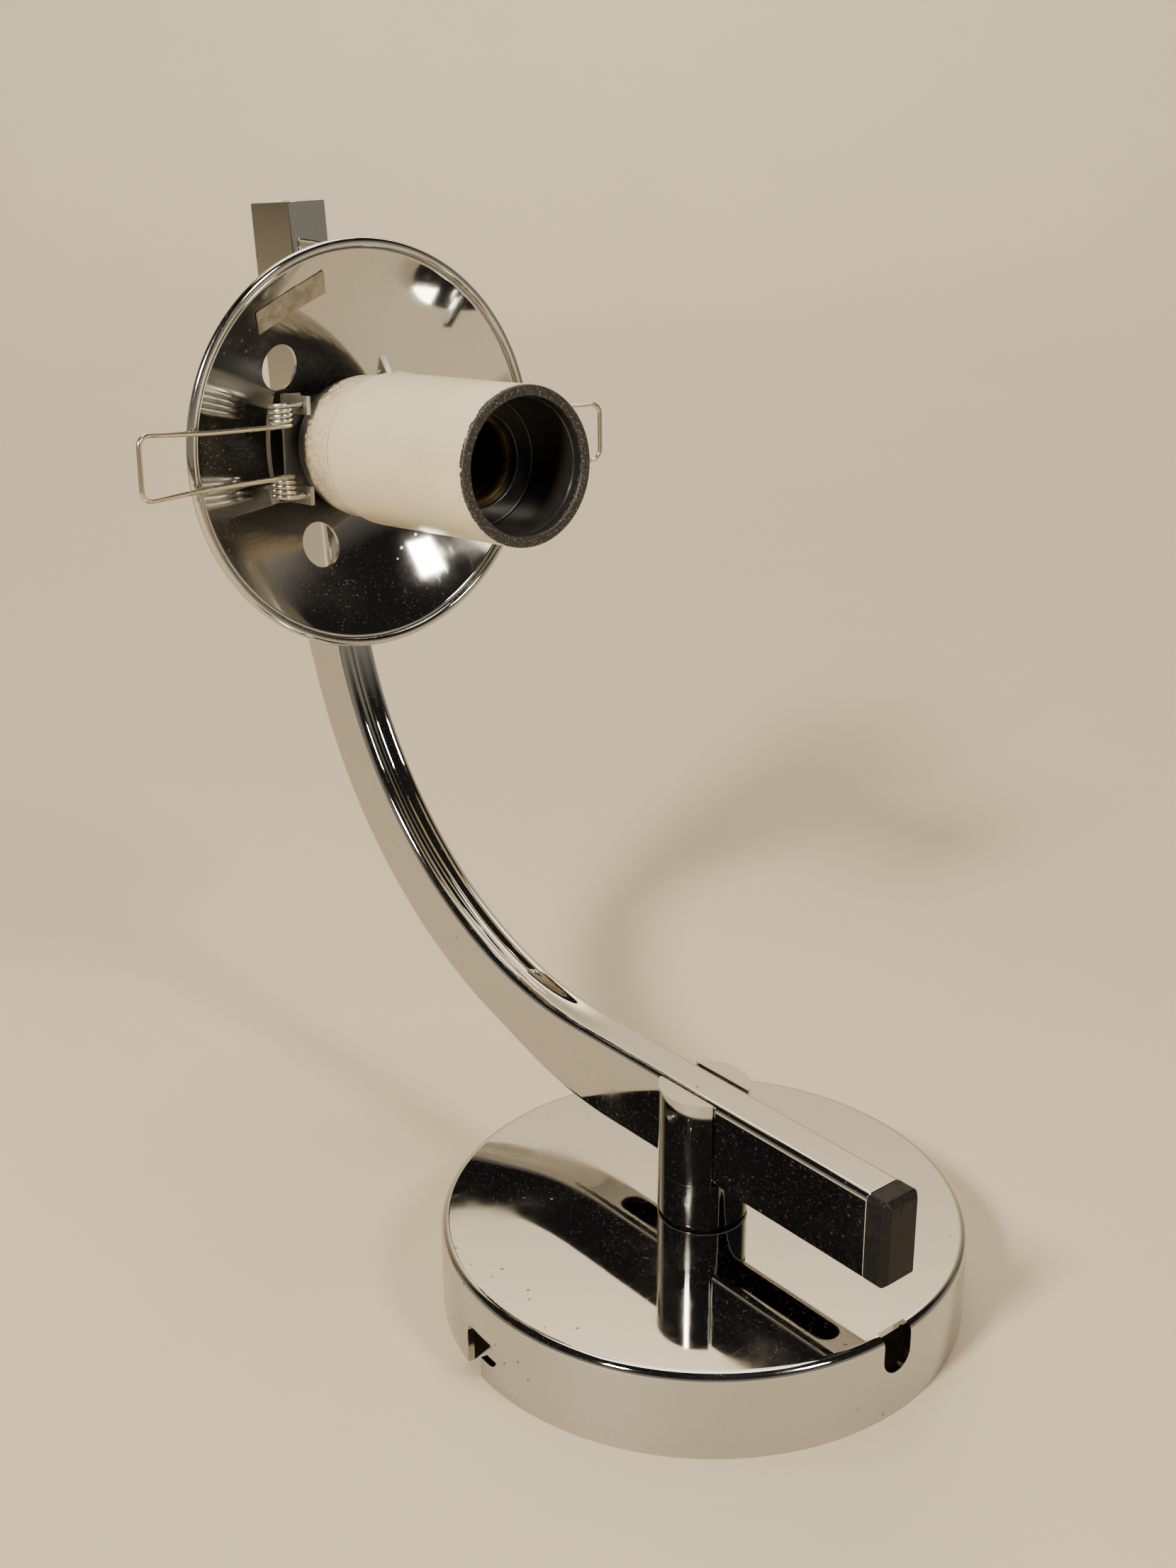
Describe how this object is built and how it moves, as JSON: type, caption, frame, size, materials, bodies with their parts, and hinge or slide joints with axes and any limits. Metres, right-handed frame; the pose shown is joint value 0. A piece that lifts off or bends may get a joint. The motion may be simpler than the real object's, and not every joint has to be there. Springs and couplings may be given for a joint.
{
  "type": "adjustable wall and table lamp",
  "caption": "Adjustable metal lamp: round canopy, slotted post, bent rectangular arm, concave reflector dish, screw lampholder and sprung wire shade clips.",
  "frame": {"origin": "centre of the canopy's open face, in the plane of the surface that it stands on or is fixed to", "axes": "+Z along the post away from that surface; +X along the arm's straight tail, the way the lampholder's mouth faces"},
  "size_m": [0.1756, 0.104, 0.1817],
  "materials": {
    "chrome": "bright chrome plate, lightly worn",
    "zinc_steel": "zinc plated",
    "spring_steel": "bright drawn spring wire",
    "dark_steel": "blackened",
    "brass": "pressed, dull",
    "black_plastic": "moulded, satin",
    "painted_bakelite": "cream paint on black moulding, chipped at the mouth",
    "black_bakelite": "moulded, dusty",
    "block_plastic": "moulded, translucent white",
    "label_foil": "blank grey foil label",
    "insulation_brown": "extruded",
    "insulation_blue": "extruded",
    "insulation_green_yellow": "extruded, two colours"
  },
  "bodies": {
    "base": {"canopy": "chrome", "block_bracket": "zinc_steel", "terminal_block": "block_plastic", "terminal_barrels": "brass", "terminal_screws": "zinc_steel", "block_screw": "zinc_steel", "earth_screw": "brass", "earth_tag": "brass", "canopy_wire_brown": "insulation_brown", "canopy_wire_blue": "insulation_blue", "earth_wire": "insulation_green_yellow"},
    "post": {"post": "chrome", "foot_washer": "black_plastic", "post_nipple": "zinc_steel", "friction_washer": "zinc_steel", "post_nut": "zinc_steel", "post_wire_brown": "insulation_brown", "post_wire_blue": "insulation_blue"},
    "clamp_screw": {"grub_screw": "dark_steel"},
    "arm": {"arm_tube": "chrome", "tail_cap": "black_plastic", "top_plug": "black_plastic", "head_nipple": "zinc_steel", "dish_washer": "black_plastic", "dish": "chrome", "dish_nut": "zinc_steel", "clip_bracket": "zinc_steel", "lock_washer": "zinc_steel", "clip_tails_left": "spring_steel", "clip_tails_right": "spring_steel", "holder_cap": "painted_bakelite", "holder_skirt": "painted_bakelite", "holder_insert": "black_bakelite", "thread_shell": "brass", "centre_contact": "brass", "shell_contact": "brass", "contact_screws": "brass", "data_label": "label_foil", "arm_wire_brown": "insulation_brown", "arm_wire_blue": "insulation_blue", "holder_wire_brown": "insulation_brown", "holder_wire_blue": "insulation_blue"},
    "clip_left": {"clip_left": "spring_steel"},
    "clip_right": {"clip_right": "spring_steel"}
  },
  "joints": [
    {"name": "post_swivel", "type": "hinge", "parent": "base", "child": "post", "pos_m": [0, 0, 0.0165], "axis": [0, 0, 1], "range_deg": [-90, 90]},
    {"name": "clamp_screw_turn", "type": "hinge", "parent": "post", "child": "clamp_screw", "pos_m": [0, -0.006, 0.03805], "axis": [0, 1, 0], "range_deg": [-360, 0]},
    {"name": "arm_slide", "type": "slide", "parent": "post", "child": "arm", "axis": [1, 0, 0], "range_m": [-0.03, 0.018]},
    {"name": "clip_left_fold", "type": "hinge", "parent": "arm", "child": "clip_left", "pos_m": [-0.10041, -0.01667, 0.13813], "axis": [0.0783, -0.0628, -0.995], "range_deg": [-60, 0], "stiffness_Nm_per_rad": 0.17},
    {"name": "clip_right_fold", "type": "hinge", "parent": "arm", "child": "clip_right", "pos_m": [-0.10025, 0.01667, 0.13604], "axis": [-0.0783, 0.0628, 0.995], "range_deg": [-60, 0], "stiffness_Nm_per_rad": 0.17}
  ]
}
